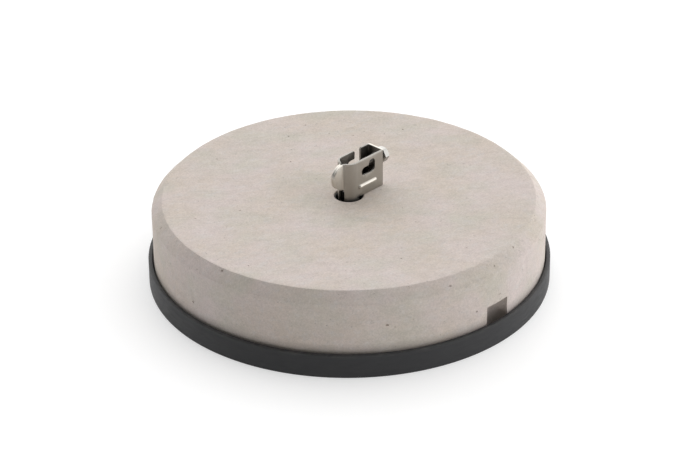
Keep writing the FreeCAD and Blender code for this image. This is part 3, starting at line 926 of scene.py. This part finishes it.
def make_bolt():
    """A hexagon bolt, threaded to the head, with a turned journal at its tip."""
    head_inner = bolt_high.x - HEAD_THICKNESS
    shoulder = shoe_high.x + 0.1 * MM
    around = 48
    tip = 0.25 * MM
    rings = [
        (bolt_low.x, 0.0, False), (bolt_low.x, JOURNAL_RADIUS - tip, False),
        (bolt_low.x + tip, JOURNAL_RADIUS, False),
        (clip_low.x, JOURNAL_RADIUS, False), (clip_low.x, CLIP_GROOVE, False),
        (clip_high.x, CLIP_GROOVE, False), (clip_high.x, JOURNAL_RADIUS, False),
        (shoulder, JOURNAL_RADIUS, False), (shoulder, BOLT_RADIUS - THREAD_DEPTH - 0.1 * MM, False),
    ]
    steps = round((head_inner - shoulder) / PITCH * 9)
    for step in range(1, steps + 1):
        rings.append((shoulder + (head_inner - shoulder) * step / steps, None, True))
    bm = bmesh.new()
    made = []
    for along, radius, threaded in rings:
        ring = []
        for number in range(around):
            turn = 2 * math.pi * number / around
            size = radius
            if threaded:
                size = thread_radius(along - shoulder, turn)
                size = min(size, BOLT_RADIUS - THREAD_DEPTH + (along - shoulder) * 0.8)
            ring.append((along, size * math.cos(turn), BOLT_HEIGHT + size * math.sin(turn)))
        if radius == 0.0:
            made.append([bm.verts.new(ring[0])] * around)
        else:
            made.append([bm.verts.new(point) for point in ring])
    for lower, upper in zip(made, made[1:]):
        for number in range(around):
            after = (number + 1) % around
            corners = list(dict.fromkeys([lower[number], lower[after], upper[after], upper[number]]))
            bm.faces.new(corners)
    bm.faces.new(reversed(made[-1]))
    mesh = bpy.data.meshes.new("threaded_shank")
    bm.to_mesh(mesh)
    bm.free()
    head = make_bolt_head(head_inner)
    whole = join("hexagon_bolt", [mesh, head])
    piece = add_piece("hexagon_bolt", whole, make_bolt_steel(), "bolt", "bolt_steel", "clamp_bolt")
    shade(piece.data, math.radians(25))
    return piece


def make_bolt_head(inner):
    """The head: a hexagon whose outer corners are turned to a cone, with flats above and below."""
    around = 96
    apothem = HEAD_FLATS / 2
    turned = apothem * 0.97
    outer = inner + HEAD_THICKNESS

    def reach(turn):
        """The hexagon's radius, with its edges slightly rounded."""
        away = (turn % (math.pi / 3)) - math.pi / 6
        full = apothem / math.cos(away)
        return min(full, apothem * 1.1547 - 0.12 * MM)

    def ring(along_at, radius_at):
        points = []
        for number in range(around):
            turn = 2 * math.pi * number / around
            size = radius_at(turn)
            points.append((along_at(turn), size * math.cos(turn), BOLT_HEIGHT + size * math.sin(turn)))
        return points

    slope = math.tan(math.radians(28))

    def cone(turn):
        return outer - max(0.0, reach(turn) - turned) * slope

    flats = [
        ring(lambda turn: inner, lambda turn: 0.6 * apothem),
        ring(lambda turn: inner, lambda turn: reach(turn) - 0.15 * MM),
        ring(lambda turn: inner + 0.15 * MM, reach),
        ring(cone, reach),
        ring(lambda turn: outer, lambda turn: turned - 0.1 * MM),
        ring(lambda turn: outer, lambda turn: 0.55 * apothem),
    ]
    bm = bmesh.new()
    made = [[bm.verts.new(point) for point in points] for points in flats]
    for lower, upper in zip(made, made[1:]):
        for number in range(around):
            after = (number + 1) % around
            bm.faces.new([lower[number], lower[after], upper[after], upper[number]])
    bm.faces.new(made[0][::-1])
    bm.faces.new(made[-1])
    mesh = bpy.data.meshes.new("hexagon_head")
    bm.to_mesh(mesh)
    bm.free()
    return mesh


# ---------------------------------------------------------------- the pieces kept from the frame


def finish_kept_nodes(sheet_steel, bolt_steel):
    """The inner pieces keep their own shape and get their finish and slightly soft edges."""
    pipe = make_black_pipe()
    nylon = make_collar_nylon()
    for node, material, soft in (
        ("centre_sleeve", pipe, 0.25), ("sleeve_cap", pipe, 0.25),
        ("collar_half_front", nylon, 0.2), ("collar_half_back", nylon, 0.2),
        ("collar_band", bolt_steel, 0.15), ("pressure_shoe", sheet_steel, 0.25),
        ("shoe_clip", bolt_steel, 0.1),
    ):
        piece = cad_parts[node]
        for holder in piece.material_slots:
            holder.material = material
        weld = piece.modifiers.new("weld", "WELD")
        weld.merge_threshold = 0.002 * MM
        soften_edges(piece, soft * MM)


# ---------------------------------------------------------------- the studio


OVERHEAD_LIGHT = 0.55
LOW_LIGHT = 2.20
BACK_LIGHT = 0.6
RIGHT_WAY = (0.974, 0.225, 0.0)
BACK_WAY = (0.462, 0.447, 0.766)
FLOOR_HALF = 6.0

CAMERA_AZIMUTH = -46.25
CAMERA_ELEVATION = 29.33
CAMERA_DISTANCE = 2.510
CAMERA_LENS = 138.81
CAMERA_ROLL = -0.0087


class Dome(Finish):
    """The studio's white dome, shaded by the direction that its light comes from."""

    def __init__(self, name):
        world = bpy.data.worlds.new(name)
        world.use_nodes = True
        bpy.context.scene.world = world
        self.tree = world.node_tree
        self.background = self.tree.nodes["Background"]
        self.place = self.node("TexCoord", output="Generated")

    def facing(self, way):
        """1 towards this way, 0 square to it and -1 away from it."""
        settings = {"operation": "DOT_PRODUCT"}
        return self.node("VectorMath", settings, {0: self.place, 1: way}, output="Value")


def make_studio():
    """A plain pale floor that is lit evenly, under the dome."""
    mesh = bpy.data.meshes.new("floor")
    corners = [(-1, -1, 0), (1, -1, 0), (1, 1, 0), (-1, 1, 0)]
    mesh.from_pydata([Vector(corner) * FLOOR_HALF for corner in corners], [], [(0, 1, 2, 3)])
    floor = bpy.data.objects.new("floor", mesh)
    bpy.context.scene.collection.objects.link(floor)
    paper = Finish(
        "lit_paper_floor", Specular_IOR_Level=0.0, Roughness=1.0,
        Emission_Color=rgb(1.0, 1.0, 1.0), Emission_Strength=0.46,
    )
    fibre = paper.noise(300, 2, 0.5)
    shade_of_white = paper.mix(fibre, rgb(0.60, 0.60, 0.60), rgb(0.64, 0.64, 0.64))
    mesh.materials.append(paper.finish(Base_Color=shade_of_white))

    make_dome()


def make_dome():
    """Bright low down all round the right-hand half, with a broad soft light from behind."""
    dome = Dome("studio_dome")
    up = dome.node("SeparateXYZ", {}, {0: dome.place}, output="Z")
    right = dome.ramp(dome.facing(RIGHT_WAY) * 0.5 + 0.5, (0.27, 0.0), (0.56, 1.0))
    behind = dome.facing(BACK_WAY).larger(0.0)
    brightness = (
        (1.0 - up * up) * (right * LOW_LIGHT - OVERHEAD_LIGHT) + OVERHEAD_LIGHT
        + behind * behind * behind * BACK_LIGHT
    )
    dome.give(dome.background.inputs["Color"], (1.0, 1.0, 1.0, 1.0))
    dome.give(dome.background.inputs["Strength"], brightness)


def make_camera():
    """A long lens that looks down on the object from the front left."""
    data = bpy.data.cameras.new("camera")
    data.sensor_width = 36.0
    data.lens = CAMERA_LENS
    data.clip_end = 50.0
    camera = bpy.data.objects.new("camera", data)
    azimuth = math.radians(CAMERA_AZIMUTH)
    elevation = math.radians(CAMERA_ELEVATION)
    way = Vector((
        math.sin(azimuth) * math.cos(elevation),
        -math.cos(azimuth) * math.cos(elevation),
        math.sin(elevation),
    ))
    aim = Vector((0.6 * MM, -0.6 * MM, 49.2 * MM))
    camera.location = aim + way * CAMERA_DISTANCE
    roll = Matrix.Rotation(CAMERA_ROLL, 4, "Z")
    camera.rotation_euler = (way.to_track_quat("Z", "Y").to_matrix().to_4x4() @ roll).to_euler()
    bpy.context.scene.collection.objects.link(camera)
    bpy.context.scene.camera = camera


make_camera()
make_studio()
make_block()
make_tray()
clamp = make_clamp()
bolt = make_bolt()
finish_kept_nodes(clamp.data.materials[0], bolt.data.materials[0])

bpy.context.scene.view_settings.view_transform = "Standard"
bpy.context.scene.view_settings.look = "None"
